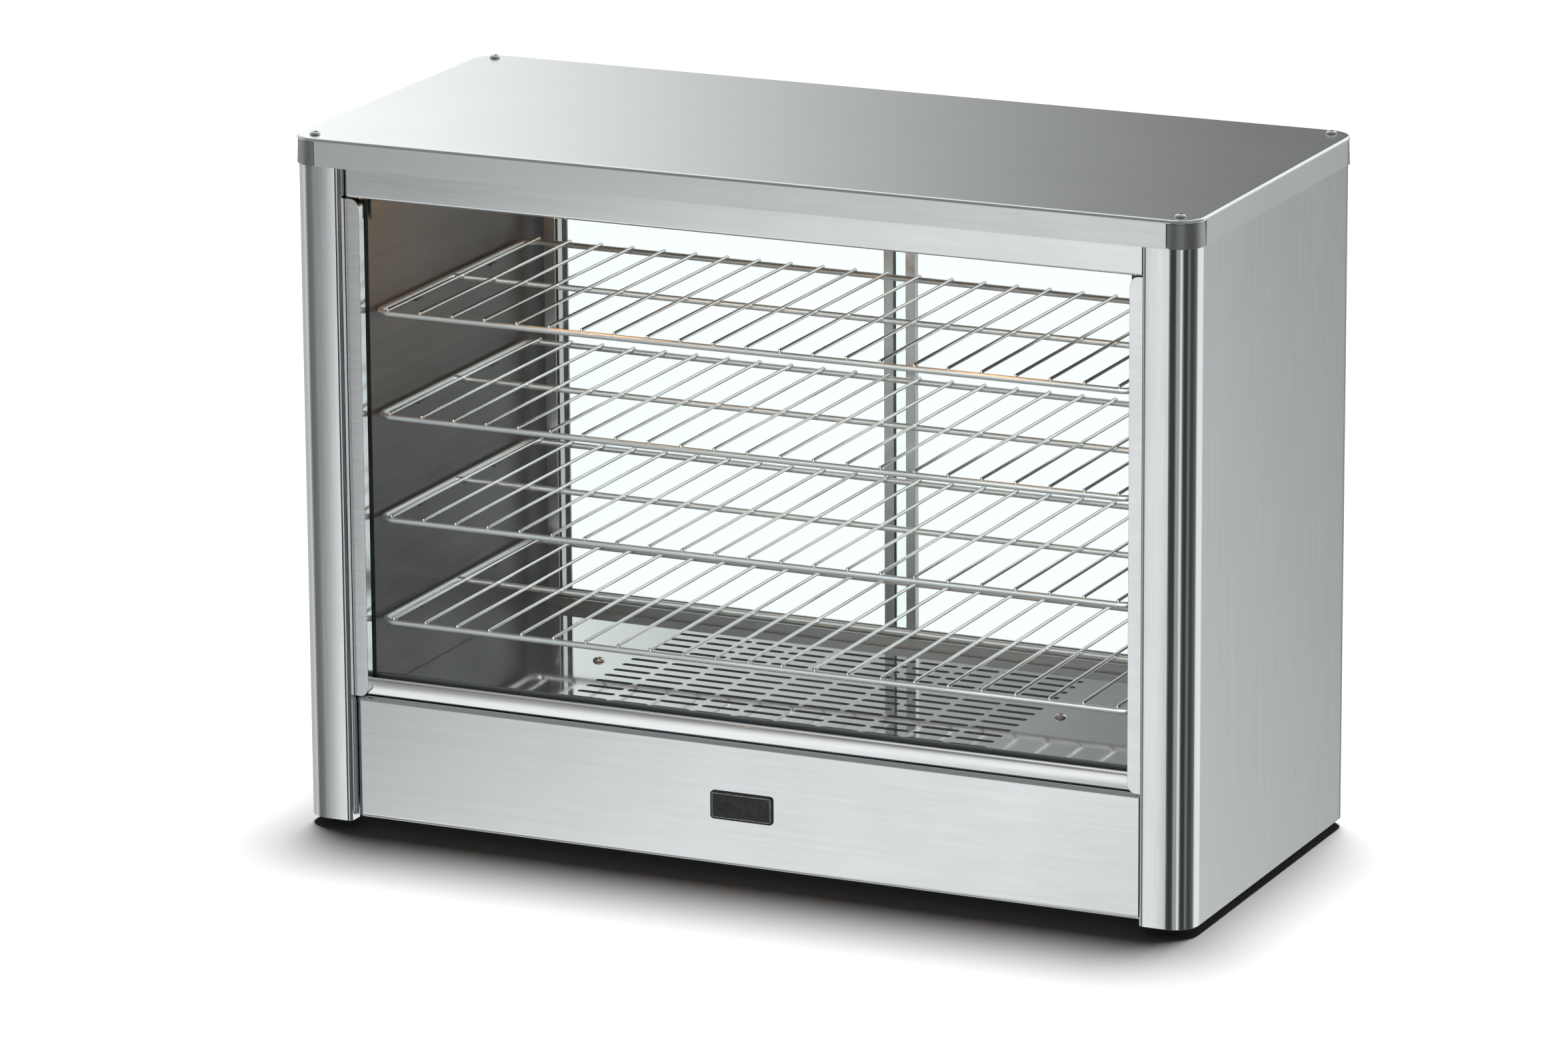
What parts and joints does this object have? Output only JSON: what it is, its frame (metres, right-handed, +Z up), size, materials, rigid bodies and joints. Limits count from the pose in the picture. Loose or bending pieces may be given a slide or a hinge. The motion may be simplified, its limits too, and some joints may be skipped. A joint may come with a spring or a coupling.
{
  "type": "hot food display case",
  "caption": "Countertop heated display cabinet in stainless steel with a fixed glass front, chrome wire shelves, a slotted warm deck, warm lamps and sliding glass doors at the back.",
  "frame": {"origin": "on the table, under the middle of the case", "axes": "+Z up, +X to the right seen from the front, the fixed glass front faces -Y"},
  "size_m": [0.75, 0.335, 0.5562],
  "materials": {
    "brushed_steel": "horizontal brushed stainless sheet",
    "cap_steel": "darker satin pressed corner caps",
    "screw_steel": "bright plated pan heads",
    "badge_black": "blank black plate",
    "front_glass": "clear toughened glass",
    "door_glass": "clear toughened glass",
    "liner_steel": "satin stainless liner",
    "deck_steel": "polished stainless deck",
    "chrome_wire": "bright chrome plated wire",
    "ceramic": "glazed off-white ceramic",
    "lamp_glass": "warm clear lamp bulb",
    "rubber": "black moulded rubber",
    "element_steel": "heat-darkened sheathed element",
    "aluminium": "satin anodised extrusion",
    "black_plastic": "black moulded plastic",
    "pilot_amber": "amber lens",
    "block_nylon": "natural nylon"
  },
  "bodies": {
    "cabinet": {"badge_plate": "badge_black", "base_pan": "brushed_steel", "cable_gland": "black_plastic", "ceiling_panel": "liner_steel", "corner_cap_front_left": "cap_steel", "corner_cap_front_right": "cap_steel", "corner_cap_rear_left": "cap_steel", "corner_cap_rear_right": "cap_steel", "deck_screw_left": "screw_steel", "deck_screw_right": "screw_steel", "door_track_bottom": "aluminium", "door_track_top": "aluminium", "element_bracket_left": "brushed_steel", "element_bracket_right": "brushed_steel", "floor_deck": "deck_steel", "foot_front_left": "rubber", "foot_front_right": "rubber", "foot_rear_left": "rubber", "foot_rear_right": "rubber", "front_apron": "brushed_steel", "front_glass": "front_glass", "glass_seal": "rubber", "glass_sill_rail": "brushed_steel", "glass_strip_left": "brushed_steel", "glass_strip_right": "brushed_steel", "header_panel": "brushed_steel", "heating_element": "element_steel", "inner_wall_left": "liner_steel", "inner_wall_right": "liner_steel", "lamp_holder_left": "ceramic", "lamp_holder_right": "ceramic", "lamp_left": "lamp_glass", "lamp_right": "lamp_glass", "lamp_trough": "liner_steel", "lid_screw_front_left": "screw_steel", "lid_screw_front_right": "screw_steel", "lid_screw_rear_left": "screw_steel", "lid_screw_rear_right": "screw_steel", "lid_top": "brushed_steel", "pilot_lamp": "pilot_amber", "power_switch_bezel": "black_plastic", "rear_control_panel": "brushed_steel", "rear_header": "brushed_steel", "shelf_1": "chrome_wire", "shelf_2": "chrome_wire", "shelf_3": "chrome_wire", "shelf_4": "chrome_wire", "side_casing_left": "brushed_steel", "side_casing_right": "brushed_steel", "terminal_block": "block_nylon", "thermostat_body": "liner_steel"},
    "door_left": {"door_glass_left": "door_glass", "door_meeting_edge_left": "aluminium", "door_pull_left": "aluminium"},
    "door_right": {"door_glass_right": "door_glass", "door_meeting_edge_right": "aluminium", "door_pull_right": "aluminium"},
    "rocker": {"power_rocker": "black_plastic"},
    "knob": {"thermostat_knob": "black_plastic"}
  },
  "joints": [
    {"name": "door_left_slide", "type": "slide", "parent": "cabinet", "child": "door_left", "axis": [1, 0, 0], "range_m": [0, 0.28]},
    {"name": "door_right_slide", "type": "slide", "parent": "cabinet", "child": "door_right", "axis": [-1, 0, 0], "range_m": [0, 0.28]},
    {"name": "thermostat_turn", "type": "hinge", "parent": "cabinet", "child": "knob", "pos_m": [0.12, 0.1482, 0.058], "axis": [0, -1, 0], "range_deg": [0, 270]},
    {"name": "power_rocker_tip", "type": "hinge", "parent": "cabinet", "child": "rocker", "pos_m": [0.215, 0.1472, 0.058], "axis": [-1, 0, 0], "range_deg": [0, 18]}
  ]
}
